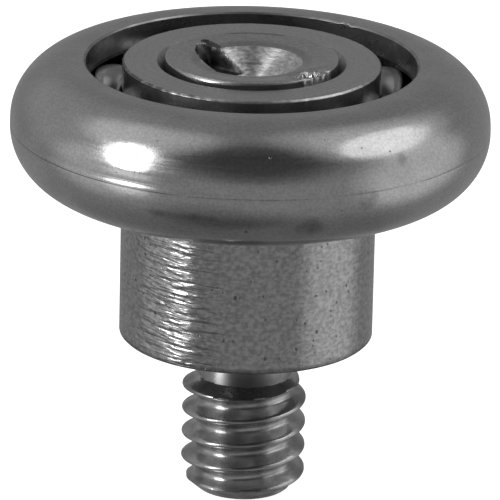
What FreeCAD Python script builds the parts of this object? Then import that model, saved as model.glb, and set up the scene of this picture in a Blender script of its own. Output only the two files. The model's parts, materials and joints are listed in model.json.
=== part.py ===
import FreeCAD, Part

import os

import Sketcher

# Cam follower: a crowned ball roller running on the staked end of a threaded shoulder stud.
#
# The origin is on the stud's axis, in the face of the shoulder that seats on the machine.
# +Z runs from that face towards the roller, and the thread hangs below it.
# Lengths are in millimetres and angles in degrees.

# alias, value, meaning
DIMENSIONS = [
    ("ring_radius", 11.905, "outer ring over its crown, 15/16 in across"),
    ("ring_width", 6.35, "width of the ring and of the paired inner races, 1/4 in"),
    ("crown_land", 0.25, "straight stretch in the middle of the crown, between its two arcs"),
    ("ring_bore_radius", 8.19, "lands of the outer ring either side of its groove"),
    ("ring_bore_edge", 0.12, "edge break where the bore meets the ring's faces"),
    ("race_radius", 6.41, "lands of the inner races"),
    ("race_bore_radius", 3.77, "bore of the inner races"),
    ("race_edge", 0.08, "edge break on the inner races"),
    ("countersink_radius", 4.7, "mouth of the countersink in the upper race"),
    ("ball_radius", 1.9845, "5/32 in ball"),
    ("pitch_radius", 7.3, "circle of the ball centres"),
    ("groove_radius", 2.06, "section of both grooves, 52 percent of the ball's diameter"),
    ("ball_clearance", 0.015, "between a ball and the bottom of either groove"),
    ("neighbour_gap", 0.01, "between neighbouring balls that lie together"),
    ("first_ball_angle", 26.0, "first ball, anticlockwise from +X"),
    ("loose_angle", 7.2, "slack that lies between the first ball and the second"),
    ("shoulder_radius", 6.35, "1/2 in shoulder"),
    ("shoulder_height", 7.8, "seating face to the lower race"),
    ("shoulder_edge", 0.1, "edge break on the shoulder"),
    ("journal_radius", 3.75, "journal in the inner races"),
    ("head_radius", 4.28, "rim of the staked head"),
    ("head_stand", 0.26, "rim of the staked head above the race"),
    ("head_gap", 0.02, "between the flared head and the countersink"),
    ("lip_drop", 0.12, "fall of the rim's broken outer edge"),
    ("lip_radius", 3.95, "inner edge of the rim, where the dish begins"),
    ("dish_radius", 2.5, "inner edge of the dish, at the mouth of the drill point"),
    ("dish_drop", 0.22, "fall of the dish from the rim to the drill point"),
    ("drill_half_angle", 59.0, "half of the drill point's included angle"),
    ("slot_width", 1.05, "screwdriver slot"),
    ("slot_depth", 0.9, "slot floor below the rim"),
    ("slot_angle", -39.0, "direction of the slot from +X"),
    ("thread_radius", 3.175, "1/4-20 UNC major radius"),
    ("thread_pitch", 1.27, "20 threads per inch"),
    ("thread_depth", 0.755, "crest to root"),
    ("flank_angle", 30.0, "half of the thread form's included angle"),
    ("crest_width", 0.16, "flat on the crest, an eighth of the pitch"),
    ("cutter_reach", 0.08, "thread cutter beyond the crest"),
    ("cutter_start", -9.16, "height of the thread cutter where it starts, over +X"),
    ("cutter_turns", 6.0, "turns cut, from below the end to inside the neck"),
    ("end_height", -8.17, "end of the thread"),
    ("end_radius", 2.3, "end face of the thread"),
    ("end_chamfer", 0.75, "height of the lead-in chamfer at the end"),
    ("neck_radius", 2.35, "undercut behind the shoulder"),
    ("neck_length", 2.15, "seating face to the start of the thread"),
    ("neck_chamfer", 0.5, "height of the run-out chamfer at the start of the thread"),
    ("relief_radius", 3.45, "recess in the seating face around the neck"),
    ("relief_depth", 0.15, "depth of that recess"),
]

BALL_COUNT = 11
PARTS_FOLDER = "parts"

# Heights and radii that follow from the sheet, written in its aliases.
MIDDLE = "(dims.shoulder_height + dims.ring_width / 2)"
TOP = "(dims.shoulder_height + dims.ring_width)"
RIM = f"({TOP} + dims.head_stand)"
DISH = f"({RIM} - dims.dish_drop)"
APEX = f"({DISH} - dims.dish_radius / tan(dims.drill_half_angle))"
BALL_REACH = "(dims.ball_radius + dims.ball_clearance)"
OUTER_GROOVE = f"(dims.pitch_radius + {BALL_REACH} - dims.groove_radius)"
INNER_GROOVE = f"(dims.pitch_radius - {BALL_REACH} + dims.groove_radius)"
CLOSE_ANGLE = "(2 * asin((dims.ball_radius + dims.neighbour_gap / 2) / dims.pitch_radius) / 1 deg)"

document = FreeCAD.newDocument("cam_follower")


def make_sheet():
    """Put the driving dimensions in a spreadsheet, one aliased cell each."""
    cells = document.addObject("Spreadsheet::Sheet", "dims")
    for row, (alias, value, meaning) in enumerate(DIMENSIONS, start=1):
        cells.set(f"A{row}", str(value))
        cells.setAlias(f"A{row}", alias)
        cells.set(f"B{row}", meaning)
    document.recompute()
    return cells


sheet = make_sheet()


def value_of(expression):
    """The value of an expression of sheet aliases, for a sketch to start from."""
    return float(sheet.evalExpression(expression.replace("dims.", "")))


def make_body(name):
    """A new body whose label names its exported file."""
    body = document.addObject("PartDesign::Body", name)
    body.Label = name
    body.Placement = FreeCAD.Placement()
    return body


def make_sketch(body, name, role):
    """An empty sketch on the body's origin plane with this role."""
    plane = next(item for item in body.Origin.OriginFeatures if item.Role == role)
    sketch = body.newObject("Sketcher::SketchObject", name)
    sketch.AttachmentSupport = [(plane, "")]
    sketch.MapMode = "FlatFace"
    return sketch


def constrain(sketch, kind, name, geometry, point, expression):
    """Hold one coordinate of a point at an expression, or on an axis where it is zero."""
    axis = {"DistanceX": -2, "DistanceY": -1}[kind]
    if expression == "0":
        sketch.addConstraint(Sketcher.Constraint("PointOnObject", geometry, point, axis))
        return
    origin_point = (-1, 1)
    rule = Sketcher.Constraint(kind, *origin_point, geometry, point, value_of(expression))
    index = sketch.addConstraint(rule)
    sketch.renameConstraint(index, name)
    sketch.setExpression(f"Constraints.{name}", expression)


def draw_outline(sketch, corners, arcs=None):
    """Draw a closed anticlockwise loop through (x, y) corners given as expressions.

    arcs gives the centre, as a pair of expressions, of each side, by number, that is an arc.
    The centre's y only starts the arc: the arc's ends and the centre's x hold it in place.
    """
    arcs = arcs or {}
    start_point, end_point, centre_point = 1, 2, 3
    places = [FreeCAD.Vector(value_of(x), value_of(y), 0) for x, y in corners]
    for side, start in enumerate(places):
        end = places[(side + 1) % len(places)]
        if side in arcs:
            centre = FreeCAD.Vector(*(value_of(place) for place in arcs[side]), 0)
            circle = Part.Circle(centre, FreeCAD.Vector(0, 0, 1), start.distanceToPoint(centre))
            curve = Part.ArcOfCircle(circle, circle.parameter(start), circle.parameter(end))
        else:
            curve = Part.LineSegment(start, end)
        sketch.addGeometry(curve, False)
    for side in range(len(places)):
        follower = (side + 1) % len(places)
        sketch.addConstraint(Sketcher.Constraint("Coincident", side, end_point, follower, start_point))
    for side, (x, y) in enumerate(corners):
        constrain(sketch, "DistanceX", f"x_{side}", side, start_point, x)
        constrain(sketch, "DistanceY", f"y_{side}", side, start_point, y)
    for side, (centre_x, _) in arcs.items():
        constrain(sketch, "DistanceX", f"centre_{side}", side, centre_point, centre_x)


def draw_circle(sketch, centre_x, centre_y, radius):
    """Draw a circle whose centre and radius are expressions."""
    centre = FreeCAD.Vector(value_of(centre_x), value_of(centre_y), 0)
    circle = Part.Circle(centre, FreeCAD.Vector(0, 0, 1), value_of(radius))
    index = sketch.addGeometry(circle, False)
    centre_point = 3
    constrain(sketch, "DistanceX", "centre_x", index, centre_point, centre_x)
    constrain(sketch, "DistanceY", "centre_y", index, centre_point, centre_y)
    rule = sketch.addConstraint(Sketcher.Constraint("Radius", index, value_of(radius)))
    sketch.renameConstraint(rule, "radius")
    sketch.setExpression("Constraints.radius", radius)


def turn(body, name, corners, arcs=None):
    """Turn a closed outline of (radius, height) corners about the body's Z axis."""
    sketch = make_sketch(body, f"{name}_section", "XZ_Plane")
    draw_outline(sketch, corners, arcs)
    feature = body.newObject("PartDesign::Revolution", name)
    feature.Profile = sketch
    feature.ReferenceAxis = (sketch, ["V_Axis"])
    feature.Angle = 360
    document.recompute()


def check_cut(body, name, volume_before):
    """Stop if a cutting feature took nothing away."""
    document.recompute()
    if not body.Shape.Volume < volume_before:
        raise RuntimeError(f"{name} cut nothing")


def cut_ball_groove(body, name, centre_radius):
    """Turn a round ball groove into a ring or race, at the middle of its width."""
    volume_before = body.Shape.Volume
    sketch = make_sketch(body, f"{name}_section", "XZ_Plane")
    draw_circle(sketch, centre_radius, MIDDLE, "dims.groove_radius")
    groove = body.newObject("PartDesign::Groove", name)
    groove.Profile = sketch
    groove.ReferenceAxis = (sketch, ["V_Axis"])
    groove.Angle = 360
    check_cut(body, name, volume_before)


def make_outer_ring():
    """Crowned outer ring: a rounded rim, flat faces and a plain bore with a ball groove."""
    ring = make_body("outer_ring")
    bottom = "dims.shoulder_height"
    crown_centre = "(dims.ring_radius - (dims.ring_width - dims.crown_land) / 2)"
    land_low = f"({MIDDLE} - dims.crown_land / 2)"
    land_high = f"({MIDDLE} + dims.crown_land / 2)"
    edge_radius = "(dims.ring_bore_radius + dims.ring_bore_edge)"
    corners = [
        (edge_radius, bottom),
        (crown_centre, bottom),
        ("dims.ring_radius", land_low),
        ("dims.ring_radius", land_high),
        (crown_centre, TOP),
        (edge_radius, TOP),
        ("dims.ring_bore_radius", f"({TOP} - dims.ring_bore_edge)"),
        ("dims.ring_bore_radius", f"({bottom} + dims.ring_bore_edge)"),
    ]
    lower_side, upper_side = 1, 3
    crown_arcs = {lower_side: (crown_centre, land_low), upper_side: (crown_centre, land_high)}
    turn(ring, "crowned_blank", corners, crown_arcs)
    cut_ball_groove(ring, "outer_groove", OUTER_GROOVE)


def make_inner_race_upper():
    """Upper half of the split inner race, countersunk under the staked head."""
    race = make_body("inner_race_upper")
    countersink_depth = "(dims.countersink_radius - dims.race_bore_radius)"
    corners = [
        ("dims.race_bore_radius", MIDDLE),
        ("dims.race_radius", MIDDLE),
        ("dims.race_radius", f"({TOP} - dims.race_edge)"),
        ("(dims.race_radius - dims.race_edge)", TOP),
        ("dims.countersink_radius", TOP),
        ("dims.race_bore_radius", f"({TOP} - {countersink_depth})"),
    ]
    turn(race, "upper_blank", corners)
    cut_ball_groove(race, "upper_groove", INNER_GROOVE)


def make_inner_race_lower():
    """Lower half of the split inner race, resting on the shoulder."""
    race = make_body("inner_race_lower")
    bottom = "dims.shoulder_height"
    corners = [
        ("(dims.race_bore_radius + dims.race_edge)", bottom),
        ("(dims.race_radius - dims.race_edge)", bottom),
        ("dims.race_radius", f"({bottom} + dims.race_edge)"),
        ("dims.race_radius", MIDDLE),
        ("dims.race_bore_radius", MIDDLE),
        ("dims.race_bore_radius", f"({bottom} + dims.race_edge)"),
    ]
    turn(race, "lower_blank", corners)
    cut_ball_groove(race, "lower_groove", INNER_GROOVE)


def turn_stud(stud):
    """Turn the stud's blank, from the thread's end up to the staked head."""
    flare_start = f"({TOP} - (dims.countersink_radius - dims.race_bore_radius) - dims.head_gap)"
    flare_top = f"({flare_start} + dims.head_radius - dims.journal_radius)"
    corners = [
        ("0", "dims.end_height"),
        ("dims.end_radius", "dims.end_height"),
        ("dims.thread_radius", "(dims.end_height + dims.end_chamfer)"),
        ("dims.thread_radius", "(0 - dims.neck_length - dims.neck_chamfer)"),
        ("dims.neck_radius", "(0 - dims.neck_length)"),
        ("dims.neck_radius", "dims.relief_depth"),
        ("dims.relief_radius", "dims.relief_depth"),
        ("dims.relief_radius", "0"),
        ("(dims.shoulder_radius - dims.shoulder_edge)", "0"),
        ("dims.shoulder_radius", "dims.shoulder_edge"),
        ("dims.shoulder_radius", "(dims.shoulder_height - dims.shoulder_edge)"),
        ("(dims.shoulder_radius - dims.shoulder_edge)", "dims.shoulder_height"),
        ("dims.journal_radius", "dims.shoulder_height"),
        ("dims.journal_radius", flare_start),
        ("dims.head_radius", flare_top),
        ("dims.head_radius", f"({RIM} - dims.lip_drop)"),
        ("(dims.head_radius - dims.lip_drop)", RIM),
        ("dims.lip_radius", RIM),
        ("dims.dish_radius", DISH),
        ("0", APEX),
    ]
    turn(stud, "turned_blank", corners)


def cut_thread(stud):
    """Cut the right-hand thread, from below the end up into the neck."""
    volume_before = stud.Shape.Volume
    half_crest_gap = "(dims.thread_pitch - dims.crest_width) / 2"
    half_root = f"({half_crest_gap} - dims.thread_depth * tan(dims.flank_angle))"
    half_mouth = f"({half_crest_gap} + dims.cutter_reach * tan(dims.flank_angle))"
    root = "(dims.thread_radius - dims.thread_depth)"
    mouth = "(dims.thread_radius + dims.cutter_reach)"
    corners = [
        (root, f"(dims.cutter_start - {half_root})"),
        (mouth, f"(dims.cutter_start - {half_mouth})"),
        (mouth, f"(dims.cutter_start + {half_mouth})"),
        (root, f"(dims.cutter_start + {half_root})"),
    ]
    sketch = make_sketch(stud, "thread_section", "XZ_Plane")
    draw_outline(sketch, corners)
    thread = stud.newObject("PartDesign::SubtractiveHelix", "thread")
    thread.Profile = sketch
    thread.ReferenceAxis = (sketch, ["V_Axis"])
    thread.Mode = "pitch-turns-angle"
    thread.setExpression("Pitch", "dims.thread_pitch")
    thread.setExpression("Turns", "dims.cutter_turns")
    check_cut(stud, "thread", volume_before)


def cut_slot(stud):
    """Cut the screwdriver slot across the staked head."""
    volume_before = stud.Shape.Volume
    sketch = make_sketch(stud, "slot_outline", "XY_Plane")
    sketch.setExpression(".AttachmentOffset.Base.z", RIM)
    sketch.setExpression(".AttachmentOffset.Rotation.Angle", "dims.slot_angle")
    reach = "dims.race_radius"
    half_width = "dims.slot_width / 2"
    corners = [
        (f"(0 - {reach})", f"(0 - {half_width})"),
        (reach, f"(0 - {half_width})"),
        (reach, f"({half_width})"),
        (f"(0 - {reach})", f"({half_width})"),
    ]
    draw_outline(sketch, corners)
    slot = stud.newObject("PartDesign::Pocket", "slot")
    slot.Profile = sketch
    slot.Type = "Length"
    slot.setExpression("Length", "dims.slot_depth")
    check_cut(stud, "slot", volume_before)


def make_stud():
    """One-piece stud: thread, neck, shoulder, journal and staked head."""
    stud = make_body("stud")
    turn_stud(stud)
    cut_thread(stud)
    cut_slot(stud)


def make_ball(number):
    """One loose ball; the slack is behind the first ball and behind the last."""
    ball = document.addObject("Part::Sphere", f"ball_{number}")
    ball.Label = f"ball_{number}"
    ball.setExpression("Radius", "dims.ball_radius")
    angle = "dims.first_ball_angle"
    if number > 1:
        angle += f" + dims.loose_angle + {number - 1} * {CLOSE_ANGLE}"
    ball.setExpression(".Placement.Base.x", f"dims.pitch_radius * cos({angle})")
    ball.setExpression(".Placement.Base.y", f"dims.pitch_radius * sin({angle})")
    ball.setExpression(".Placement.Base.z", MIDDLE)


def export_parts():
    """Check every object, then write each sub-part to its own file."""
    document.recompute()
    for item in document.Objects:
        if "Invalid" in item.State or "Error" in item.State:
            raise RuntimeError(f"{item.Label} failed: {item.State}")
    sub_parts = [item for item in document.Objects if item.TypeId in ("PartDesign::Body", "Part::Sphere")]
    for item in sub_parts:
        if item.Shape.isNull() or not item.Shape.isValid() or len(item.Shape.Solids) != 1:
            raise RuntimeError(f"{item.Label} is not one valid solid")
    os.makedirs(PARTS_FOLDER, exist_ok=True)
    for item in sub_parts:
        item.Shape.exportStep(f"{PARTS_FOLDER}/{item.Label}.step")
        print(f"{item.Label}: {item.Shape.Volume:.2f} mm3")


make_stud()
make_inner_race_lower()
make_inner_race_upper()
make_outer_ring()
for ball_number in range(1, BALL_COUNT + 1):
    make_ball(ball_number)
export_parts()
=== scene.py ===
import json
import math

import bpy
import numpy as np
from mathutils import Matrix, Vector, noise


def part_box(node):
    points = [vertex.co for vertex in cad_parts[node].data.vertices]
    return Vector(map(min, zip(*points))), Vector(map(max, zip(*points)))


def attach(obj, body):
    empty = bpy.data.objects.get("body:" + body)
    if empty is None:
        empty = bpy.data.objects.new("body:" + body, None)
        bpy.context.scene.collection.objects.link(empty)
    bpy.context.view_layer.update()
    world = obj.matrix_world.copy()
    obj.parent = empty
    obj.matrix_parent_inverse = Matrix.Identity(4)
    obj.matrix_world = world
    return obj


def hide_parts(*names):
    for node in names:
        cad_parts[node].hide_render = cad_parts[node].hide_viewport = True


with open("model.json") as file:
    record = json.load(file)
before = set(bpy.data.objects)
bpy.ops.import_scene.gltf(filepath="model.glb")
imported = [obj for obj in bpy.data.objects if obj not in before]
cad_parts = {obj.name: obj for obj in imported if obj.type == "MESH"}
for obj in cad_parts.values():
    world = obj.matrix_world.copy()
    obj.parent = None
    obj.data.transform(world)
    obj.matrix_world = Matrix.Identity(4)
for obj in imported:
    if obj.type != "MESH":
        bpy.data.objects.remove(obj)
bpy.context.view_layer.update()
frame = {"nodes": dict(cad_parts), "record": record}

# Cam follower: a crowned ball roller on a staked, threaded shoulder stud, all bare steel.
# Lengths are in millimetres until a mesh is made. Angles are in degrees, from +X anticlockwise,
# unless a function says radians.
MM = 0.001

# Sizes that the frame gives.
RING_LOW, RING_HIGH = (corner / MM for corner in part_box("outer_ring"))
STUD_LOW, STUD_HIGH = (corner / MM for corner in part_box("stud"))
BALL_LOW, BALL_HIGH = (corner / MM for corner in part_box("ball_1"))
BALL_NODES = sorted(name for name in frame["nodes"] if name.startswith("ball_"))
THREAD = next(mount for mount in frame["record"]["mounts"] if mount["name"] == "mounting_thread")
BOTTOM, TOP = RING_LOW.z, RING_HIGH.z
MIDDLE = (BOTTOM + TOP) / 2
RING_RADIUS = min(*RING_HIGH.xy, *-RING_LOW.xy)
RACE_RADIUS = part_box("inner_race_upper")[1].x / MM
SHOULDER_RADIUS = STUD_HIGH.x
END, RIM = STUD_LOW.z, STUD_HIGH.z
BALL_RADIUS = (BALL_HIGH.z - BALL_LOW.z) / 2
PITCH_RADIUS = (BALL_HIGH + BALL_LOW).xy.length / 2
THREAD_RADIUS = THREAD["dims"]["r_mm"]

# Sizes inside the pieces, which their boxes don't give.
CROWN_LAND = 0.25
CROWN_RADIUS = (TOP - BOTTOM - CROWN_LAND) / 2
CROWN_CENTRE = RING_RADIUS - CROWN_RADIUS
RING_BORE = 8.19
RACE_BORE = 3.77
COUNTERSINK = 4.7
GROOVE_RADIUS = 2.06
# Height from the middle of a row of points on each land, just outside the mouth of its groove.
LAND_ROW = 2.0
BALL_CLEARANCE = 0.015
# The crease round the middle of the crown: height from the middle, and depth below the crown's radius.
CREASE = [(-0.12, 0.0), (-0.05, 0.002), (-0.015, 0.01), (0.012, 0.01), (0.03, 0.001), (0.125, 0.0)]
# The burr above the crease: height from the middle, and depth of the hollow behind it
# where it is strongest.
BURR = [
    (0.012, 0.0),
    (0.05, 0.013),
    (0.12, 0.037),
    (0.19, 0.06),
    (0.25, 0.074),
    (0.31, 0.078),
    (0.5, 0.045),
    (0.78, 0.0),
]
JOURNAL = 3.75
HEAD_RADIUS = 4.28
HEAD_GAP = 0.02
LIP_DROP = 0.2
LIP_REACH = 0.085
LIP_RADIUS = 3.95
RIM_WEAR = 0.02
DISH_RADIUS = 2.5
DISH_DROP = 0.22
DRILL_HALF_ANGLE = 59
SLOT_ANGLE = -39
SLOT_WIDTH = 1.05
SLOT_DEPTH = 1.2
FRONT_SLOT_DEPTH = 0.15
# Distance from the axis, along the slot, where its arms start to close and where they end.
PINCH_START, PINCH_END = 2.9, 3.6
THREAD_PITCH = 1.27
FLANK_ANGLE = 30
CREST_DROP = 0.06
CREST_ROUND = 0.12
ROOT_ROUND = 0.28
CREST_HEIGHT = -2.6
CREST_ANGLE = -120
END_RADIUS = 2.3
END_CHAMFER = 0.75
NECK_RADIUS = 2.35
NECK_LENGTH = 2.15
NECK_CHAMFER = 0.5
RELIEF_RADIUS = 3.45
RELIEF_DEPTH = 0.15
SHOULDER_EDGE = 0.1


# ---------------------------------------------------------------- outlines and meshes


def arc(centre, radius, start, end, steps):
    """Points on an arc about centre, from angle start to angle end."""
    angles = np.radians(np.linspace(start, end, steps + 1))
    return [(centre[0] + radius * math.cos(a), centre[1] + radius * math.sin(a)) for a in angles]


def rounded(corners, steps=5, guard=0.03):
    """Points through (x, y, fillet radius) corners, with a guard point each side of a fillet.

    The first and last corners stay sharp. The guard points keep the shading of the flats beside
    a fillet flat.
    """
    points = []
    last = len(corners) - 1
    for index, (x, y, fillet) in enumerate(corners):
        here = Vector((x, y))
        if fillet == 0 or index in (0, last):
            points.append((x, y))
            continue
        before = Vector(corners[index - 1][:2]) - here
        after = Vector(corners[index + 1][:2]) - here
        half_turn = (math.pi - before.angle(after)) / 2
        reach = fillet * math.tan(half_turn)
        start = here + before.normalized() * reach
        end = here + after.normalized() * reach
        inward = (before.normalized() + after.normalized()).normalized()
        centre = here + inward * (fillet / math.cos(half_turn))
        points.append(tuple(start + before.normalized() * guard))
        for step in range(steps + 1):
            share = step / steps
            chord = start.lerp(end, share) - centre
            points.append(tuple(centre + chord.normalized() * fillet))
        points.append(tuple(end + after.normalized() * guard))
    return points


def ring_angles(count):
    """Angles of the columns of a turned surface, in radians."""
    return np.arange(count) * (2 * math.pi / count)


def turned_row(radius, height, count):
    """One ring of points of a turned surface: an array of (x, y, z)."""
    angles = ring_angles(count)
    radius = np.broadcast_to(radius, angles.shape)
    height = np.broadcast_to(height, angles.shape)
    return np.stack([radius * np.cos(angles), radius * np.sin(angles), height], axis=1)


def skin(rows, closed=False):
    """Vertices and faces of a surface through rows of points, each row a closed ring.

    A row may have twice as many points as the row before it.
    """
    starts = np.cumsum([0] + [len(row) for row in rows])
    faces = []
    pairs = [(k, k + 1) for k in range(len(rows) - 1)]
    if closed:
        pairs.append((len(rows) - 1, 0))
    for lower, upper in pairs:
        count = len(rows[lower])
        a, b = int(starts[lower]), int(starts[upper])
        if len(rows[upper]) == count:
            for i in range(count):
                j = (i + 1) % count
                faces.append((a + i, a + j, b + j, b + i))
        else:
            double = 2 * count
            for i in range(count):
                j = (i + 1) % count
                faces.append((a + i, b + 2 * i + 1, b + 2 * i))
                faces.append((a + i, a + j, b + 2 * i + 1))
                faces.append((a + j, b + (2 * i + 2) % double, b + 2 * i + 1))
    return np.concatenate(rows), faces


def capped(vertices, faces, ring, pole, downward):
    """Close a ring of vertex numbers with a fan to one pole point."""
    centre = len(vertices)
    vertices = np.vstack([vertices, [pole]])
    for i, start in enumerate(ring):
        end = ring[(i + 1) % len(ring)]
        faces.append((end, start, centre) if downward else (start, end, centre))
    return vertices, faces


def make_piece(name, surface, body, nodes, materials, sharp=40):
    """A mesh piece that rides on a body, stands for CAD nodes and is smooth up to the sharp angle."""
    vertices, faces = surface
    mesh = bpy.data.meshes.new(name)
    mesh.from_pydata((np.asarray(vertices) * MM).tolist(), [], faces)
    mesh.validate()
    for material in materials:
        mesh.materials.append(material)
    mesh.shade_smooth()
    mesh.set_sharp_from_angle(angle=math.radians(sharp))
    piece = bpy.data.objects.new(name, mesh)
    bpy.context.scene.collection.objects.link(piece)
    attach(piece, body)
    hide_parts(*nodes)
    return piece


def ripple(angles, seed, waves=(5, 9, 14, 23, 37), roll_off=0.6):
    """Smooth noise of about -1 to 1 around a circle, at angles in radians."""
    rng = np.random.default_rng(seed)
    total = np.zeros_like(angles)
    for wave in waves:
        total += np.cos(wave * angles + rng.uniform(0, 2 * math.pi)) * (waves[0] / wave) ** roll_off
    return total / 2


def bump(angles, centre, width, power=2):
    """1 at the centre, fading over the width, both in degrees, at angles in radians."""
    return np.exp(-(((angles - math.radians(centre)) / math.radians(width)) ** power))


def smooth_step(value, low, high):
    """0 below low, 1 above high and a smooth rise between."""
    share = np.clip((value - low) / (high - low), 0, 1)
    return share * share * (3 - 2 * share)


# ---------------------------------------------------------------- materials


class Shading:
    """A steel material whose nodes are added one call at a time. Coordinates are in millimetres."""

    def __init__(self, name, colour, roughness, anisotropy=0.0):
        self.material = bpy.data.materials.new(name)
        self.material.use_nodes = True
        self.nodes = self.material.node_tree.nodes
        self.links = self.material.node_tree.links
        self.shader = self.nodes["Principled BSDF"]
        self.shader.inputs["Metallic"].default_value = 1.0
        if anisotropy:
            self.shader.inputs["Anisotropic"].default_value = anisotropy
            self.shader.inputs["Anisotropic Rotation"].default_value = 0.25
            tangent = self.nodes.new("ShaderNodeTangent")
            tangent.direction_type = "RADIAL"
            tangent.axis = "Z"
            self.links.new(tangent.outputs[0], self.shader.inputs["Tangent"])
        self.place = self.nodes.new("ShaderNodeTexCoord").outputs["Object"]
        self.colour = colour
        self.roughness = roughness
        self.height = None

    def math(self, operation, *terms):
        """A math node on sockets or numbers."""
        node = self.nodes.new("ShaderNodeMath")
        node.operation = operation
        for index, term in enumerate(terms):
            if isinstance(term, (int, float)):
                node.inputs[index].default_value = term
            else:
                self.links.new(term, node.inputs[index])
        return node.outputs[0]

    def axes(self):
        """The X, Y and Z of the place being shaded."""
        split = self.nodes.new("ShaderNodeSeparateXYZ")
        self.links.new(self.place, split.inputs[0])
        return split.outputs

    def distance(self):
        """Distance from the stud's axis."""
        x, y, _ = self.axes()
        return self.math("SQRT", self.math("ADD", self.math("MULTIPLY", x, x), self.math("MULTIPLY", y, y)))

    def stretched(self, across, along, radial=0.0, slant=0.0):
        """Coordinates scaled by across in X and Y and by along in Z.

        radial adds that much of the distance from the axis to Z, and slant that much of X.
        """
        x, y, z = self.axes()
        join = self.nodes.new("ShaderNodeCombineXYZ")
        self.links.new(self.math("MULTIPLY", x, across / MM), join.inputs[0])
        self.links.new(self.math("MULTIPLY", y, across / MM), join.inputs[1])
        depth = self.math("MULTIPLY", z, along / MM)
        if radial:
            depth = self.math("ADD", depth, self.math("MULTIPLY", self.distance(), radial / MM))
        if slant:
            depth = self.math("ADD", depth, self.math("MULTIPLY", x, slant / MM))
        self.links.new(depth, join.inputs[2])
        return join.outputs[0]

    def band(self, source, centre, inner, outer):
        """1 where source is within inner millimetres of centre, 0 beyond outer."""
        away = self.math("ABSOLUTE", self.math("SUBTRACT", source, centre * MM))
        return self.ramp(away, inner * MM, outer * MM, 1.0, 0.0)

    def near(self, point, inner, outer):
        """1 within inner millimetres of a point, 0 beyond outer."""
        gap = self.nodes.new("ShaderNodeVectorMath")
        gap.operation = "DISTANCE"
        self.links.new(self.place, gap.inputs[0])
        gap.inputs[1].default_value = point * MM
        return self.ramp(gap.outputs["Value"], inner * MM, outer * MM, 1.0, 0.0)

    def stain_and_shade(self, source, low, high, darkest):
        """Multiply the colour by darkest where source is above high, fading out at low: for stains and for
        painted shade.
        """
        self.colour = self.math("MULTIPLY", self.colour, self.ramp(source, low, high, 1.0, darkest))

    def noise(self, vector, detail=2.0):
        """Noise from 0 to 1 at one feature a unit."""
        node = self.nodes.new("ShaderNodeTexNoise")
        node.inputs["Scale"].default_value = 1.0
        node.inputs["Detail"].default_value = detail
        self.links.new(vector, node.inputs["Vector"])
        return node.outputs["Fac"]

    def ramp(self, source, low, high, start=0.0, end=1.0):
        """A smooth change from start to end as source goes from low to high."""
        node = self.nodes.new("ShaderNodeMapRange")
        node.interpolation_type = "SMOOTHSTEP"
        self.links.new(source, node.inputs["Value"])
        for name, number in (("From Min", low), ("From Max", high), ("To Min", start), ("To Max", end)):
            node.inputs[name].default_value = number
        return node.outputs[0]

    def tint(self, source, low, high):
        """Multiply the colour by low to high as source goes from 0.3 to 0.7."""
        self.colour = self.math("MULTIPLY", self.colour, self.ramp(source, 0.3, 0.7, low, high))

    def polish(self, source, low, high):
        """Add low to high to the roughness as source goes from 0.3 to 0.7."""
        self.roughness = self.math("ADD", self.roughness, self.ramp(source, 0.3, 0.7, low, high))

    def relief(self, source, depth):
        """Add source, 0 to 1, to the relief, depth millimetres high."""
        raised = self.math("MULTIPLY", source, depth * MM)
        self.height = raised if self.height is None else self.math("ADD", self.height, raised)

    def pits(self, spacing, size, share, depth, dark):
        """Scattered round pits: share of the cells of this spacing hold one of up to this size."""
        cells = self.nodes.new("ShaderNodeTexVoronoi")
        cells.inputs["Scale"].default_value = 1.0
        self.links.new(self.stretched(1 / spacing, 1 / spacing), cells.inputs["Vector"])
        pick = self.nodes.new("ShaderNodeSeparateXYZ")
        self.links.new(cells.outputs["Color"], pick.inputs[0])
        reach = self.math("MULTIPLY", self.ramp(pick.outputs[0], 1 - share, 1.0), size / spacing)
        inside = self.math("LESS_THAN", 0.02, reach)
        bowl = self.math("DIVIDE", cells.outputs["Distance"], self.math("MAXIMUM", reach, 0.02))
        pit = self.math("MULTIPLY", self.ramp(bowl, 0.4, 1.0, 1.0, 0.0), inside)
        light = self.math("SUBTRACT", 1.0, self.math("MULTIPLY", pit, dark))
        self.colour = self.math("MULTIPLY", self.colour, light)
        self.relief(pit, -depth)

    def finish(self):
        """Join the colour, roughness and relief to the shader."""
        grey = self.nodes.new("ShaderNodeCombineColor")
        for channel in grey.inputs:
            self.links.new(self.colour, channel)
        self.links.new(grey.outputs[0], self.shader.inputs["Base Color"])
        if isinstance(self.roughness, float):
            self.shader.inputs["Roughness"].default_value = self.roughness
        else:
            self.links.new(self.roughness, self.shader.inputs["Roughness"])
        if self.height is not None:
            bump = self.nodes.new("ShaderNodeBump")
            bump.inputs["Distance"].default_value = 1.0
            self.links.new(self.height, bump.inputs["Height"])
            self.links.new(bump.outputs[0], self.shader.inputs["Normal"])
        return self.material


# Dark patches on the crown, oily smudges and at -106 degrees a painted dark reflection: angle, height from
# the middle, the reach of the dark middle, the reach of the edge, and how far up and down the patch fades,
# which makes a streak where it is small.
SMUDGES_AND_REFLECTION = [
    (-51, 1.3, 0.15, 0.7, 1.4),
    (-61, -0.3, 0.3, 1.1, 2.2),
    (-106, -1.05, 1.4, 2.6, 0.5),
    (-75, -1.6, 0.2, 1.4, 2.8),
]


def on_crown(angle, height):
    """The point of the crown at an angle and a height from its middle."""
    radius = CROWN_CENTRE + math.sqrt(CROWN_RADIUS**2 - height**2)
    turn = math.radians(angle)
    return Vector((radius * math.cos(turn), radius * math.sin(turn), MIDDLE + height))


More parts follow.
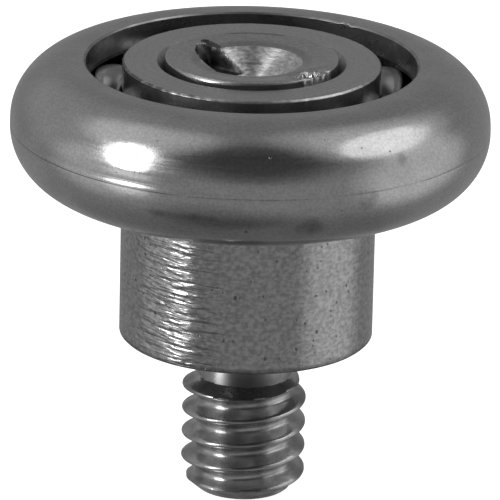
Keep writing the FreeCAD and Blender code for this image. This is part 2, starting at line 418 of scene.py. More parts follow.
def crown_steel():
    """Tumbled outer ring: mottled, faintly lined round its crown, with scattered pits, painted shade in its
    crease and dark patches, one of them a painted reflection.
    """
    steel = Shading("crown_steel", colour=0.56, roughness=0.17)
    blotches = steel.noise(steel.stretched(0.45, 0.45), detail=4)
    steel.tint(blotches, 0.93, 1.06)
    steel.polish(blotches, 0.03, -0.02)
    waves = steel.noise(steel.stretched(1.6, 2.2), detail=2)
    steel.relief(waves, 0.004)
    grain = steel.noise(steel.stretched(7, 8), detail=3)
    steel.tint(grain, 0.9, 1.1)
    steel.relief(grain, 0.0012)
    lines = steel.noise(steel.stretched(0.5, 11))
    steel.polish(lines, -0.02, 0.03)
    steel.relief(lines, 0.0006)
    steel.pits(spacing=1.1, size=0.13, share=0.25, depth=0.014, dark=0.65)
    steel.pits(spacing=0.45, size=0.07, share=0.35, depth=0.008, dark=0.45)
    crease = steel.band(steel.axes()["Z"], MIDDLE, 0.012, 0.055)
    crease_shade = steel.noise(steel.stretched(0.35, 0), detail=3)
    # Painted shade in the crease: unbroken towards -X and patchy elsewhere.
    left = steel.ramp(steel.axes()["X"], -4.5 * MM, -2.0 * MM, 0.6, 0.2)
    crease_shade = steel.math("MAXIMUM", steel.math("MULTIPLY", crease_shade, 0.85), left)
    steel.stain_and_shade(steel.math("MULTIPLY", crease, crease_shade), 0.35, 0.65, 0.35)
    broken = steel.noise(steel.stretched(1.3, 1.0), detail=5)
    for angle, height, inner, outer, tall in SMUDGES_AND_REFLECTION:
        patch = steel.near(on_crown(angle, height), inner, outer)
        streak = steel.band(steel.axes()["Z"], MIDDLE + height, 0.0, tall)
        patch = steel.math("MULTIPLY", patch, streak)
        steel.stain_and_shade(steel.math("MULTIPLY", patch, broken), 0.2, 0.7, 0.6)
    return steel.finish()


def recess_shade_steel():
    """Painted shade for the bore and groove of the ring and races, the journal and the side of the head:
    ground steel made dark, under an oily film.
    """
    steel = Shading("recess_shade_steel", colour=0.17, roughness=0.32)
    film = steel.noise(steel.stretched(0.8, 1.6), detail=3)
    steel.tint(film, 0.7, 1.2)
    steel.polish(film, 0.05, -0.05)
    lines = steel.noise(steel.stretched(0.6, 14))
    steel.relief(lines, 0.0008)
    return steel.finish()


def soft_shade_steel():
    """Painted softer shade for the upper race's countersink and bore, the stud's neck and the ring's bore
    beside its groove: turned steel made darker, under a thin oily film.
    """
    steel = Shading("soft_shade_steel", colour=0.36, roughness=0.3)
    film = steel.noise(steel.stretched(1.2, 1.2), detail=3)
    steel.tint(film, 0.8, 1.15)
    steel.polish(film, 0.05, -0.05)
    return steel.finish()


def race_steel():
    """Inner races: faces ground in fine rings, with speckles like wear on the outer top edge towards -X,
    painted there as shade to dim its highlight.
    """
    steel = Shading("race_steel", colour=0.56, roughness=0.3, anisotropy=0.3)
    rings = steel.noise(steel.stretched(0.5, 8, radial=9), detail=2)
    steel.tint(rings, 0.95, 1.05)
    steel.relief(rings, 0.0008)
    grain = steel.noise(steel.stretched(6, 6), detail=3)
    steel.tint(grain, 0.9, 1.1)
    steel.relief(grain, 0.0012)
    steel.pits(spacing=0.8, size=0.06, share=0.25, depth=0.006, dark=0.5)
    # Painted shade: the outer top edge is darker towards -X, where it dims the key light's highlight, in
    # speckles like wear.
    outer_edge = steel.band(steel.distance(), RACE_RADIUS, 0.08, 0.2)
    top_edge = steel.band(steel.axes()["Z"], TOP, 0.12, 0.2)
    left = steel.ramp(steel.axes()["X"], -2.5 * MM, -1.0 * MM, 1.0, 0.0)
    rubbed_and_shaded = steel.noise(steel.stretched(3, 3), detail=3)
    for mask in (outer_edge, top_edge, left):
        rubbed_and_shaded = steel.math("MULTIPLY", rubbed_and_shaded, mask)
    steel.stain_and_shade(rubbed_and_shaded, 0.2, 0.55, 0.3)
    return steel.finish()


def turned_steel():
    """Shoulder: short broken tool marks round it, many small dark pits, and painted shade along its lower
    edge and at its top under the ring.
    """
    steel = Shading("turned_steel", colour=0.48, roughness=0.2, anisotropy=0.4)
    marks = steel.noise(steel.stretched(0.6, 3.8, slant=0.1), detail=2)
    worn = steel.ramp(steel.axes()["X"], -3.0 * MM, -0.5 * MM, 1.0, 0.12)
    steel.relief(steel.math("MULTIPLY", marks, worn), 0.19)
    grain = steel.noise(steel.stretched(4, 5), detail=4)
    steel.tint(grain, 0.75, 1.2)
    steel.relief(grain, 0.006)
    steel.pits(spacing=0.5, size=0.13, share=0.5, depth=0.012, dark=0.6)
    steel.pits(spacing=0.28, size=0.07, share=0.5, depth=0.008, dark=0.6)
    # Painted shade along the lower edge and, at the top, under the ring.
    steel.stain_and_shade(steel.band(steel.axes()["Z"], 0.0, 0.12, 0.4), 0.0, 1.0, 0.55)
    steel.stain_and_shade(steel.band(steel.axes()["Z"], BOTTOM, 0.1, 0.35), 0.0, 1.0, 0.4)
    return steel.finish()


def slot_shade_steel():
    """Inside of the slot: painted shade, made dark, grimy and oily."""
    steel = Shading("slot_shade_steel", colour=0.09, roughness=0.45)
    film = steel.noise(steel.stretched(2, 2), detail=3)
    steel.tint(film, 0.6, 1.6)
    steel.relief(film, 0.03)
    return steel.finish()


def drilled_steel():
    """Drill point: rings of deep tool marks that spread the light across them."""
    steel = Shading("drilled_steel", colour=0.85, roughness=0.33, anisotropy=0.9)
    rings = steel.noise(steel.stretched(2.2, 0, radial=7), detail=2)
    steel.relief(rings, 0.04)
    steel.tint(rings, 0.75, 1.2)
    circle = steel.band(steel.distance(), 1.5, 0.03, 0.1)
    middle = steel.band(steel.axes()["X"], 0, 0.4, 0.7)
    steel.stain_and_shade(steel.math("MULTIPLY", circle, middle), 0.2, 0.8, 0.55)
    grain = steel.noise(steel.stretched(4, 4), detail=3)
    steel.tint(grain, 0.85, 1.1)
    steel.polish(grain, 0.04, -0.04)
    return steel.finish()


def head_steel():
    """Staked head: faint rings of tool marks in the dish, small pits and painted shade round the foot of
    the dish.
    """
    steel = Shading("head_steel", colour=0.55, roughness=0.26, anisotropy=0.3)
    rings = steel.noise(steel.stretched(0.5, 0, radial=6), detail=2)
    steel.relief(rings, 0.006)
    steel.polish(rings, 0.03, -0.03)
    circle = steel.band(steel.distance(), LIP_RADIUS, 0.03, 0.12)
    middle = steel.band(steel.axes()["X"], 0.2, 1.0, 2.0)
    steel.stain_and_shade(steel.math("MULTIPLY", circle, middle), 0.2, 0.9, 0.6)
    # Painted shade round the foot of the dish, in patches.
    patchy_shade = steel.noise(steel.stretched(0.5, 0.5), detail=3)
    dish_foot = steel.band(steel.distance(), DISH_RADIUS + 0.25, 0.1, 0.5)
    steel.stain_and_shade(steel.math("MULTIPLY", dish_foot, patchy_shade), 0.1, 0.6, 0.72)
    grain = steel.noise(steel.stretched(5, 5), detail=3)
    steel.tint(grain, 0.88, 1.1)
    steel.relief(grain, 0.003)
    steel.pits(spacing=0.7, size=0.06, share=0.3, depth=0.008, dark=0.5)
    return steel.finish()


def thread_steel():
    """Thread: smooth flanks with a thin oily film."""
    steel = Shading("thread_steel", colour=0.49, roughness=0.23, anisotropy=0.5)
    film = steel.noise(steel.stretched(0.9, 1.6), detail=4)
    steel.tint(film, 0.7, 1.25)
    steel.polish(film, 0.06, -0.05)
    marks = steel.noise(steel.stretched(1.6, 4), detail=3)
    steel.relief(marks, 0.02)
    steel.pits(spacing=0.6, size=0.08, share=0.35, depth=0.012, dark=0.65)
    return steel.finish()


def ball_steel():
    """Lapped ball: a near mirror with a few oily smears, its colour darkened partly as painted shade in the
    gap between the rings and partly as an oily film.
    """
    steel = Shading("ball_steel", colour=0.39, roughness=0.09)
    smears = steel.noise(steel.stretched(0.9, 0.9), detail=3)
    steel.polish(smears, 0.0, 0.12)
    steel.tint(smears, 1.1, 0.8)
    return steel.finish()


CROWN = crown_steel()
RECESS_SHADE = recess_shade_steel()
SOFT_SHADE = soft_shade_steel()
RACE = race_steel()
TURNED = turned_steel()
HEAD = head_steel()
DRILLED = drilled_steel()
SLOT_SHADE = slot_shade_steel()
THREADED = thread_steel()
POLISHED = ball_steel()


# ---------------------------------------------------------------- outer ring


def crown_outline(steps=44):
    """The crown from its lower to its upper edge: two arcs with the crease between them.

    The points are closer together just above the crease, where the burr is.
    """
    lower_end, burr_start, burr_end, upper_start = -0.5, 0.8, 12, 14
    burr_steps = 14
    lower_centre = (CROWN_CENTRE, MIDDLE - CROWN_LAND / 2)
    upper_centre = (CROWN_CENTRE, MIDDLE + CROWN_LAND / 2)
    lower = arc(lower_centre, CROWN_RADIUS, -90, lower_end, steps)
    crease = [(RING_RADIUS - depth, MIDDLE + height) for height, depth in CREASE]
    above_crease = arc(upper_centre, CROWN_RADIUS, burr_start, burr_end, burr_steps)
    upper = arc(upper_centre, CROWN_RADIUS, upper_start, 90, steps)
    return lower + crease + above_crease + upper


def groove_span(centre_radius, land_radius):
    """Half of the angle that a groove's arc covers, from the middle of its depth."""
    return math.degrees(math.acos((land_radius - centre_radius) / GROOVE_RADIUS))


def make_outer_ring(count=288):
    """Crowned ring with a grooved bore and a raised burr at one place on the bore's upper edge."""
    edge = 0.08
    fillet = 0.02
    edge_zone = RING_BORE + 1.6 * edge
    face_row = CROWN_CENTRE - 0.1
    groove_centre = PITCH_RADIUS + BALL_RADIUS + BALL_CLEARANCE - GROOVE_RADIUS
    span = groove_span(groove_centre, RING_BORE)
    inside = rounded([
        (face_row, TOP, 0),
        (RING_BORE + edge, TOP, fillet),
        (RING_BORE, TOP - edge, fillet),
        (RING_BORE, TOP - 2 * edge, 0),
        (RING_BORE, TOP - 3 * edge, 0),
        (RING_BORE, MIDDLE + LAND_ROW, 0),
    ], steps=3)
    outside = rounded([
        (RING_BORE, MIDDLE - LAND_ROW, 0),
        (RING_BORE, BOTTOM + edge, fillet),
        (RING_BORE + edge, BOTTOM, fillet),
        (face_row, BOTTOM, 0),
    ], steps=3)
    groove = arc((groove_centre, MIDDLE), GROOVE_RADIUS, span, -span, 36)
    outline = crown_outline() + inside + groove + outside
    angles = ring_angles(count)
    wander, burr_reach, burr_rise = 0.006, 0.07, 0.05
    ragged = 0.5 + 0.6 * ripple(angles, 3, (47, 79, 113), 0.1)
    bore_burr = ragged * bump(angles, 57, 9, power=4)
    edge_shift = wander * ripple(angles, 11) - burr_reach * bore_burr
    edge_lift = burr_rise * bore_burr * ripple(angles, 4, (53, 83, 113), 0.2)
    faintest, unevenness = 0.12, 0.05
    crown_burr = faintest + (1 - faintest) * bump(angles, 240, 20) + unevenness * ripple(angles, 17)
    rows = []
    for radius, height in outline:
        shift = 0
        lift = 0
        if height > TOP - 1.5 * edge and radius < edge_zone:
            shift = edge_shift
            lift = edge_lift
        elif radius > CROWN_CENTRE + CROWN_RADIUS / 2:
            shift = -crown_burr * np.interp(height - MIDDLE, *np.array(BURR).T)
        rows.append(turned_row(radius + shift, height + lift, count))
    surface = skin(rows, closed=True)
    materials = [CROWN, RECESS_SHADE, SOFT_SHADE]
    piece = make_piece("crowned_ring", surface, "outer_ring", ["outer_ring"], materials)
    # The groove and the bore are given darker materials as painted shade.
    mark_inside(piece, RECESS_SHADE, CROWN_CENTRE, MIDDLE + LAND_ROW, MIDDLE - LAND_ROW)
    mark_inside(piece, SOFT_SHADE, edge_zone, TOP + edge, MIDDLE + LAND_ROW)
    mark_inside(piece, SOFT_SHADE, RING_BORE + 0.9 * edge, MIDDLE - LAND_ROW, BOTTOM)


def mark_inside(piece, material, radius, high, low):
    """Give one of a piece's materials to faces nearer the axis than radius and between two heights."""
    number = piece.data.materials.find(material.name)
    for face in piece.data.polygons:
        centre = face.center / MM
        if centre.xy.length < radius and low < centre.z < high:
            face.material_index = number


# ---------------------------------------------------------------- inner races


def make_race(name, node, corners, seed, count=256):
    """Half of the split inner race from its section, with a worn outer edge."""
    groove_centre = PITCH_RADIUS - BALL_RADIUS - BALL_CLEARANCE + GROOVE_RADIUS
    half_groove = math.sqrt(GROOVE_RADIUS**2 - (groove_centre - RACE_RADIUS) ** 2)
    upper = corners[0][1] > MIDDLE
    groove_bottom = 180
    mouth = math.degrees(math.asin(half_groove / GROOVE_RADIUS))
    start, end = (groove_bottom, groove_bottom - mouth) if upper else (groove_bottom + mouth, groove_bottom)
    groove = arc((groove_centre, MIDDLE), GROOVE_RADIUS, start, end, 20)
    outline = groove + rounded(corners, steps=4) if upper else rounded(corners, steps=4) + groove
    angles = ring_angles(count)
    edge_zone, wear_depth = 0.14, 0.012
    far_from_groove = half_groove + 1.0
    edge_wear = wear_depth * ripple(angles, seed, (13, 29, 53, 71, 97), 0.1) - wear_depth
    rows = []
    for radius, height in outline:
        on_edge = radius > RACE_RADIUS - edge_zone and abs(height - MIDDLE) > far_from_groove
        rows.append(turned_row(radius + (edge_wear if on_edge else 0), height, count))
    surface = skin(rows, closed=True)
    piece = make_piece(name, surface, "root", [node], [RACE, RECESS_SHADE, SOFT_SHADE])
    inset = 0.02
    # The groove, the bore and the countersink are given darker materials as painted shade.
    mark_inside(piece, RECESS_SHADE, RACE_RADIUS - inset, MIDDLE + half_groove, MIDDLE - half_groove)
    mark_inside(piece, SOFT_SHADE, COUNTERSINK - inset, TOP, MIDDLE + half_groove)


def make_races():
    """Upper race with its countersink, and lower race on the shoulder."""
    edge = 0.1
    fillet = 0.08
    sink_fillet = 0.05
    sink = COUNTERSINK - RACE_BORE
    upper = [
        (RACE_RADIUS, MIDDLE + LAND_ROW, 0),
        (RACE_RADIUS, TOP - edge, fillet),
        (RACE_RADIUS - edge, TOP, fillet),
        (COUNTERSINK, TOP, sink_fillet),
        (RACE_BORE, TOP - sink, sink_fillet),
        (RACE_BORE, MIDDLE, 0),
    ]
    lower = [
        (RACE_BORE, MIDDLE, 0),
        (RACE_BORE, BOTTOM + edge, fillet),
        (RACE_BORE + edge, BOTTOM, fillet),
        (RACE_RADIUS - edge, BOTTOM, fillet),
        (RACE_RADIUS, BOTTOM + edge, fillet),
        (RACE_RADIUS, MIDDLE - LAND_ROW, 0),
    ]
    make_race("upper_race", "inner_race_upper", upper, 21)
    make_race("lower_race", "inner_race_lower", lower, 22)


# ---------------------------------------------------------------- balls


def make_ball(node, divisions=18):
    """A lapped ball: a cube's grid pushed out to a sphere, so that its faces are even."""
    low, high = (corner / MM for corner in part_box(node))
    centre = (low + high) / 2
    steps = np.tan(np.linspace(-math.pi / 4, math.pi / 4, divisions + 1))
    index = {}
    points, faces = [], []

    def corner(axis, side, i, j):
        """The number of a grid point on one side of the cube, shared along the cube's edges."""
        place = [0.0, 0.0, 0.0]
        place[axis] = side
        place[(axis + 1) % 3] = steps[i]
        place[(axis + 2) % 3] = steps[j]
        key = tuple(round(value, 6) for value in place)
        if key not in index:
            index[key] = len(points)
            points.append(centre + Vector(place).normalized() * BALL_RADIUS)
        return index[key]

    for axis in range(3):
        for side in (-1.0, 1.0):
            for i in range(divisions):
                for j in range(divisions):
                    cell = ((i, j), (i + 1, j), (i + 1, j + 1), (i, j + 1))
                    quad = [corner(axis, side, *at) for at in cell]
                    faces.append(quad if side > 0 else quad[::-1])
    make_piece(f"lapped_{node}", (points, faces), node, [node], [POLISHED], sharp=180)


# ---------------------------------------------------------------- stud


def thread_section():
    """Distances along the axis and radii of the thread: a zigzag with round crests and roots."""
    sharp_height = THREAD_PITCH / (2 * math.tan(math.radians(FLANK_ANGLE)))
    # A fillet in a 60 degree corner stops its own radius short of the corner.
    crest = THREAD_RADIUS - CREST_DROP + CREST_ROUND
    root = crest - sharp_height
    half = THREAD_PITCH / 2
    line = rounded([
        (-THREAD_PITCH, crest, 0),
        (-half, root, ROOT_ROUND),
        (0, crest, CREST_ROUND),
        (half, root, ROOT_ROUND),
        (THREAD_PITCH, crest, 0),
    ], steps=8, guard=0.005)
    along, radius = np.array(line).T
    return along, radius


def thread_radius(angle, height, section):
    """Radius of the stud below its neck, at an angle in radians and a height."""
    crest = CREST_HEIGHT + THREAD_PITCH * (angle - math.radians(CREST_ANGLE)) / (2 * math.pi)
    along = (height - crest + THREAD_PITCH / 2) % THREAD_PITCH - THREAD_PITCH / 2
    thread = np.interp(along, *section)
    lead_in = END_RADIUS + (THREAD_RADIUS - END_RADIUS) * (height - END) / END_CHAMFER
    run_out = NECK_RADIUS + (THREAD_RADIUS - NECK_RADIUS) * (-NECK_LENGTH - height) / NECK_CHAMFER
    return np.minimum(np.minimum(thread, lead_in), np.maximum(run_out, NECK_RADIUS))


def helical_wall(count, rows_per_turn, low, high):
    """The threaded wall between two heights: vertices, faces and its lowest and highest rings.

    Its rows climb with the thread, so a row's last point meets the first point of the row one turn on.
    """
    section = thread_section()
    angles = ring_angles(count)
    rise = THREAD_PITCH / rows_per_turn
    first = -rows_per_turn
    last = math.ceil((high - low) / rise) + 1
    numbers = {}
    points, faces = [], []

    def key(column, height):
        """The column and the rounded height that a vertex is known by."""
        return column, round(height / rise, 3)

    def point(column, row):
        """The number of the vertex at a column and row, all those past an end being one."""
        turns, column = divmod(column, count)
        row += turns * rows_per_turn
        height = low + THREAD_PITCH * column / count + row * rise
        height = min(max(height, low), high)
        place = key(column, height)
        if place not in numbers:
            radius = float(thread_radius(angles[column], height, section))
            numbers[place] = len(points)
            points.append((radius * math.cos(angles[column]), radius * math.sin(angles[column]), height))
        return numbers[place]

    for row in range(first, last):
        for column in range(count):
            lower = [point(column, row), point(column + 1, row)]
            quad = [*lower, point(column + 1, row + 1), point(column, row + 1)]
            loop = [v for k, v in enumerate(quad) if v != quad[k - 1]]
            if len(set(loop)) > 2:
                faces.append(tuple(loop))
    bottom = [numbers[key(column, low)] for column in range(count)]
    top = [numbers[key(column, high)] for column in range(count)]
    return np.array(points), faces, bottom, top


def head_profile(radius):
    """Height of the staked head's top without its slot: rim, dish and drill point, with rounded edges."""
    cone_rise = 1 / math.tan(math.radians(DRILL_HALF_ANGLE))
    dish_edge = RIM - DISH_DROP
    slope = DISH_DROP / (LIP_RADIUS - DISH_RADIUS)
    cone_run, dish_run, lip_run, rim_run = 0.12, 0.15, 0.1, 0.06
    # Radius, height with sharp edges, and how far below that the rounded edge is.
    stations = [
        (0, dish_edge - DISH_RADIUS * cone_rise, 0),
        (DISH_RADIUS - cone_run, dish_edge - cone_run * cone_rise, 0.01),
        (DISH_RADIUS, dish_edge, 0.022),
        (DISH_RADIUS + dish_run, dish_edge + dish_run * slope, 0.006),
        (LIP_RADIUS - lip_run, RIM - lip_run * slope, 0.03),
        (LIP_RADIUS + rim_run, RIM, 0.022),
        (HEAD_RADIUS - LIP_REACH, RIM, RIM_WEAR),
    ]
    radii, sharp, worn = np.array(stations).T
    return np.interp(radius, radii, sharp - worn)


def lumps(x, y, z):
    """Rough torn metal from about -1 to 1: rounded lumps half a millimetre across, with finer ones."""
    lumps_per_mm, fine_per_mm, fine_share = 1.9, 6.0, 0.25
    places = [Vector(place) for place in np.stack([x, y, z], axis=1).tolist()]
    pebbles = np.array([1 - 2 * noise.voronoi(place * lumps_per_mm)[0][0] for place in places])
    fine = np.array([noise.turbulence(place * fine_per_mm, 3, False) - 0.5 for place in places])
    return pebbles + fine_share * fine


def cut_slot(top, along, across):
    """The head's top with the slot cut in it, at distances along and across the slot.

    The back arm is deep and torn wide on one side, and the front arm is pushed almost shut.
    """
    torn_spread, other_spread = 0.95, -0.15
    torn_wall, other_wall = 0.075, 0.12
    narrowing, shallowing = 0.8, 0.7
    front = along > 0
    torn_side = across < 0
    pinch = smooth_step(np.abs(along), PINCH_START, PINCH_END)
    spread = np.where(torn_side, torn_spread, other_spread) * smooth_step(along, -PINCH_END, -1.6)
    half_width = (SLOT_WIDTH / 2 + np.where(front, 0, spread)) * (1 - narrowing * pinch)
    wall = np.where(torn_side, torn_wall, other_wall)
    open_share = (1 - pinch) * (1 - smooth_step(np.abs(across), half_width - wall, half_width + wall))
    depth = np.where(front, FRONT_SLOT_DEPTH, SLOT_DEPTH * (1 - shallowing * pinch))
    floor = np.minimum(top, RIM - depth)
    return top + (floor - top) * open_share


def head_height(x, y):
    """Height of the head's top at each point, with the slot and the metal torn over its ends."""
    radius = np.hypot(x, y)
    turn = math.radians(SLOT_ANGLE)
    along = x * math.cos(turn) + y * math.sin(turn)
    across = -x * math.sin(turn) + y * math.cos(turn)
    height = cut_slot(head_profile(radius), along, across)
    rough = lumps(x, y, np.full_like(x, RIM))
    front_width, back_width, back_aside = 0.85, 0.2, 0.6
    front_end = np.exp(-((across / front_width) ** 2)) * smooth_step(along, PINCH_START, PINCH_END)
    near_end = smooth_step(-along, 2.4, 2.8) * (1 - smooth_step(-along, 3.5, 3.9))
    back_end = near_end * np.exp(-(((across - back_aside) / back_width) ** 2))
    # Where metal is torn, how high its lumps are, and how far below the top it lies.
    for torn, lump_height, drop in ((front_end, 0.5, 0.36), (back_end, 0.1, 0.08)):
        height = height + torn * (lump_height * rough - drop)
    rim_roughness = 0.006
    height = height + rim_roughness * rough * smooth_step(radius, 2.6, 3.6)
    return np.minimum(height, RIM)


def head_rows(count):
    """Rings of points over the staked head, from its flare inward to the drill point's tip."""
    wander_size, swell_size = 0.02, 0.2
    angles = ring_angles(count)
    wander = ripple(angles, 5, (3, 5, 8, 13, 21), 0.8)
    swell = bump(angles, SLOT_ANGLE % 360, 12)
    faintest = 0.25
    lip = faintest + (1 - faintest) * bump(angles, 237, 16)
    sink = COUNTERSINK - RACE_BORE
    flare_start = TOP - sink - HEAD_GAP
    flare_top = flare_start + HEAD_RADIUS - JOURNAL
    rim_radius = HEAD_RADIUS - LIP_REACH
    wall_foot = flare_top + 0.1
    wall_heights = np.linspace(wall_foot, RIM - LIP_DROP - 0.08, 6)
    side = rounded([
        (JOURNAL, flare_start - 0.3, 0),
        (JOURNAL, flare_start, 0.08),
        (HEAD_RADIUS, flare_top, 0.05),
        *((HEAD_RADIUS, height, 0) for height in wall_heights),
        (HEAD_RADIUS, RIM - LIP_DROP, 0.05),
        (rim_radius, RIM - RIM_WEAR, 0),
    ], steps=4)[:-1]
    rows = []
    for radius, height in side:
        reach = smooth_step(height, TOP - 0.1, RIM - LIP_DROP)
        torn_reach = smooth_step(height, flare_top, flare_top + 0.35)
        wall = turned_row(radius, height, count)
        shift = reach * wander_size * (wander - 1) + torn_reach * swell_size * swell * lumps(*wall.T)
        lip_height = RIM - (RIM - height) * lip
        rows.append(turned_row(radius + shift, lip_height if height > wall_foot else height, count))
    dish_rows, cone_rows = 40, 36
    last_dish_row, last_cone_row = DISH_RADIUS + 0.1, 0.12
    dish_radii = np.linspace(rim_radius, last_dish_row, dish_rows)
    cone_radii = np.linspace(DISH_RADIUS, last_cone_row, cone_rows)
    for radius in np.concatenate([dish_radii, cone_radii]):
        reach = smooth_step(radius, 3.6, rim_radius)
        ring = turned_row(radius + reach * wander_size * (wander - 1), 0, count)
        ring[:, 2] = head_height(ring[:, 0], ring[:, 1])
        rows.append(ring)
    return rows


def stud_material(centre):
    """The stud's material at the centre of a face."""
    shoulder_zone, rim_zone, side_zone, floor_zone, front_share = 0.2, 0.2, 0.06, 0.03, 0.97
    radius, height = centre.xy.length, centre.z
    if height < RELIEF_DEPTH / 2:
        if radius > RELIEF_RADIUS:
            return TURNED
        # The neck is painted darker as shade in its recess.
        return SOFT_SHADE if height > -NECK_LENGTH else THREADED
    if height < BOTTOM + shoulder_zone:
        return TURNED
    turn = math.radians(SLOT_ANGLE)
    along = centre.xy.dot(Vector((math.cos(turn), math.sin(turn))))
    in_back_half = along < 0 and radius < HEAD_RADIUS - rim_zone
    # The back arm of the slot is painted dark as shade.
    if in_back_half and MIDDLE < height < head_profile(radius) - floor_zone:
        return SLOT_SHADE
    on_side = radius > HEAD_RADIUS - side_zone and height < RIM - LIP_DROP
    at_front_end = along > front_share * radius
    # The journal and the side of the head are painted dark as shade.
    if height < MIDDLE or (on_side and not at_front_end):
        return RECESS_SHADE
    return DRILLED if radius < DISH_RADIUS else HEAD


STUD_MATERIALS = [TURNED, THREADED, HEAD, DRILLED, RECESS_SHADE, SOFT_SHADE, SLOT_SHADE]


def make_stud(count=256):
    """Thread, neck, shoulder, journal and staked head in one closed surface."""
    wall, faces, bottom, top = helical_wall(count, rows_per_turn=20, low=END, high=-NECK_LENGTH)
    wall, faces = capped(wall, faces, bottom, (0, 0, END), downward=True)
    edge = SHOULDER_EDGE
    middle = rounded([
        (NECK_RADIUS, -NECK_LENGTH, 0),
        (NECK_RADIUS, RELIEF_DEPTH, 0.08),
        (RELIEF_RADIUS, RELIEF_DEPTH, 0.05),
        (RELIEF_RADIUS, 0, 0.04),
        (SHOULDER_RADIUS - edge, 0, 0.05),
        (SHOULDER_RADIUS, edge, 0.08),
        (SHOULDER_RADIUS, BOTTOM - edge, 0.08),
        (SHOULDER_RADIUS - edge, BOTTOM, 0.05),
        (JOURNAL, BOTTOM, 0.05),
        (JOURNAL, BOTTOM + 0.5, 0),
    ], steps=4)[1:]
    angles = ring_angles(count)
    edge_zone, wear_depth = 0.2, 0.008
    lower_seed, upper_seed = 31, 32
    rows = []
    for radius, height in middle:
        wear = 0
        if radius > SHOULDER_RADIUS - edge_zone:
            seed = lower_seed if height < BOTTOM / 2 else upper_seed
            wear = wear_depth * (ripple(angles, seed) - 1.2)
        rows.append(turned_row(radius + wear, height, count))
    rows += head_rows(2 * count)
    upper, upper_faces = skin(rows)
    offset = len(wall)
    for i in range(count):
        j = (i + 1) % count
        faces.append((top[i], top[j], offset + j, offset + i))
    faces += [tuple(v + offset for v in face) for face in upper_faces]
    vertices = np.vstack([wall, upper])
    tip_ring = list(range(len(vertices) - 2 * count, len(vertices)))
    tip = (0, 0, float(head_profile(0.0)))
    surface = capped(vertices, faces, tip_ring, tip, downward=False)
    piece = make_piece("shoulder_stud", surface, "root", ["stud"], STUD_MATERIALS, sharp=80)
    for face in piece.data.polygons:
        face.material_index = STUD_MATERIALS.index(stud_material(face.center / MM))


make_outer_ring()
make_races()
for ball_node in BALL_NODES:
    make_ball(ball_node)
make_stud()


# ---------------------------------------------------------------- studio


def direction(azimuth, elevation):
    """Unit vector towards a place in the studio. Azimuth 0 is the camera's side and 90 is on its right."""
    a, e = math.radians(azimuth), math.radians(elevation)
    return Vector((math.sin(a) * math.cos(e), -math.cos(a) * math.cos(e), math.sin(e)))


AIM = Vector((0.13, 0, 4.29)) * MM


def make_camera():
    """Camera at the photographer's viewing angle, with a long lens."""
    distance, elevation, roll = 305 * MM, 19.38, 1.35
    data = bpy.data.cameras.new("camera")
    data.sensor_width = 36
    data.lens = 440.5
    data.clip_start, data.clip_end = 0.01, 10
    camera = bpy.data.objects.new("camera", data)
    back = direction(0, elevation)
    camera.location = AIM + back * distance
    upright = (-back).to_track_quat("-Z", "Y").to_matrix()
    camera.rotation_euler = (upright @ Matrix.Rotation(math.radians(roll), 3, "Z")).to_euler()
    bpy.context.scene.collection.objects.link(camera)
    bpy.context.scene.camera = camera


def make_softbox(name, azimuth, elevation, wide, tall, radiance, lean=0):
    """An oval soft light, wide by tall degrees as the object sees it, leaning by lean degrees."""
    distance = 0.5
    centre = Vector((0, 0, MIDDLE * MM))
    data = bpy.data.lights.new(name, "AREA")
    data.shape = "ELLIPSE"
    data.size = 2 * distance * math.tan(math.radians(wide / 2))
    data.size_y = 2 * distance * math.tan(math.radians(tall / 2))
    data.energy = radiance * math.pi * (math.pi / 4 * data.size * data.size_y)
    light = bpy.data.objects.new(name, data)
    towards = direction(azimuth, elevation)
    light.location = centre + towards * distance
    upright = towards.to_track_quat("Z", "Y").to_matrix()
    light.rotation_euler = (upright @ Matrix.Rotation(math.radians(lean), 3, "Z")).to_euler()
    bpy.context.scene.collection.objects.link(light)


# Soft patches of the studio walls: azimuth, elevation, the angle out to which a patch has its full
# strength, the angle where it ends, and the radiance that it adds or, below zero, takes away.
WALL_PATCHES = [
    (4, 43, 12, 50, -0.165),
    (-18, -52, 8, 32, -0.08),
    (-60, -14, 2, 15, 0.6),
    (-76, -6, 10, 36, 0.26),
    (-85, 56, 10, 32, 0.35),
    (-115, 35, 15, 50, 0.1),
    (86, -4, 18, 42, 0.35),
    (95, 50, 12, 40, 0.33),
]
# Studio wall brightness against the sine of the elevation.
WALL_LEVELS = [(-1.0, 0.14), (-0.85, 0.17), (-0.65, 0.25), (0.0, 0.25), (0.6, 0.22), (1.0, 0.21)]


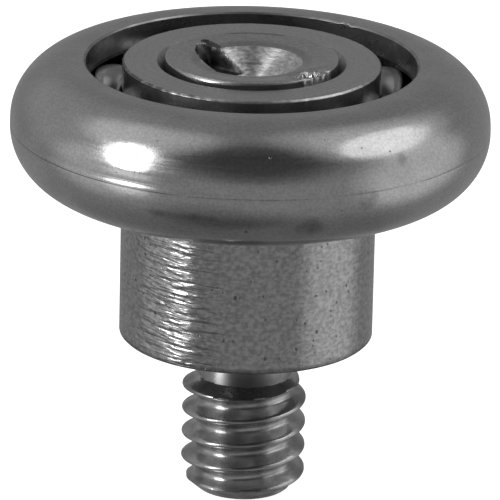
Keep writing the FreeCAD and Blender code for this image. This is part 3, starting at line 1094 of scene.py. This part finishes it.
def make_walls():
    """The studio's walls as a world of soft gradients."""
    world = bpy.data.worlds.new("studio")
    world.use_nodes = True
    bpy.context.scene.world = world
    nodes, links = world.node_tree.nodes, world.node_tree.links
    place = nodes.new("ShaderNodeTexCoord").outputs["Generated"]
    split = nodes.new("ShaderNodeSeparateXYZ")
    links.new(place, split.inputs[0])
    levels = nodes.new("ShaderNodeFloatCurve")
    curve = levels.mapping.curves[0]
    levels.mapping.clip_min_x = -1
    points_at_first = 2
    for _ in range(len(WALL_LEVELS) - points_at_first):
        curve.points.new(0, 0)
    for point, (sine, level) in zip(curve.points, WALL_LEVELS):
        point.location = (sine, level)
    levels.mapping.update()
    links.new(split.outputs["Z"], levels.inputs["Value"])
    total = levels.outputs[0]
    for azimuth, elevation, inner, outer, radiance in WALL_PATCHES:
        facing = nodes.new("ShaderNodeVectorMath")
        facing.operation = "DOT_PRODUCT"
        links.new(place, facing.inputs[0])
        facing.inputs[1].default_value = direction(azimuth, elevation)
        patch = nodes.new("ShaderNodeMapRange")
        patch.interpolation_type = "SMOOTHSTEP"
        links.new(facing.outputs["Value"], patch.inputs["Value"])
        patch.inputs["From Min"].default_value = math.cos(math.radians(outer))
        patch.inputs["From Max"].default_value = math.cos(math.radians(inner))
        patch.inputs["To Min"].default_value = 0.0
        patch.inputs["To Max"].default_value = radiance
        add = nodes.new("ShaderNodeMath")
        links.new(total, add.inputs[0])
        links.new(patch.outputs[0], add.inputs[1])
        total = add.outputs[0]
    links.new(total, nodes["Background"].inputs["Strength"])
    nodes["Background"].inputs["Color"].default_value = (1, 1, 1, 1)


def make_floor():
    """A plain pale floor under the end of the thread, which the steel doesn't mirror."""
    half = 3.0
    height = END * MM
    mesh = bpy.data.meshes.new("floor")
    corners = [(-half, -half, height), (half, -half, height), (half, half, height), (-half, half, height)]
    mesh.from_pydata(corners, [], [(0, 1, 2, 3)])
    floor = bpy.data.objects.new("floor", mesh)
    bpy.context.scene.collection.objects.link(floor)
    material = bpy.data.materials.new("floor_paper")
    material.use_nodes = True
    shader = material.node_tree.nodes["Principled BSDF"]
    shader.inputs["Base Color"].default_value = (0.95, 0.95, 0.95, 1)
    shader.inputs["Roughness"].default_value = 1.0
    shader.inputs["Emission Color"].default_value = (1, 1, 1, 1)
    shader.inputs["Emission Strength"].default_value = 0.85
    mesh.materials.append(material)
    floor.visible_glossy = False


make_camera()
make_walls()
make_softbox("left_key", azimuth=-62, elevation=24, wide=21, tall=43, radiance=5.0, lean=14)
make_softbox("right_fill", azimuth=88, elevation=44, wide=46, tall=34, radiance=0.7)
make_floor()
bpy.context.scene.view_settings.view_transform = "Standard"
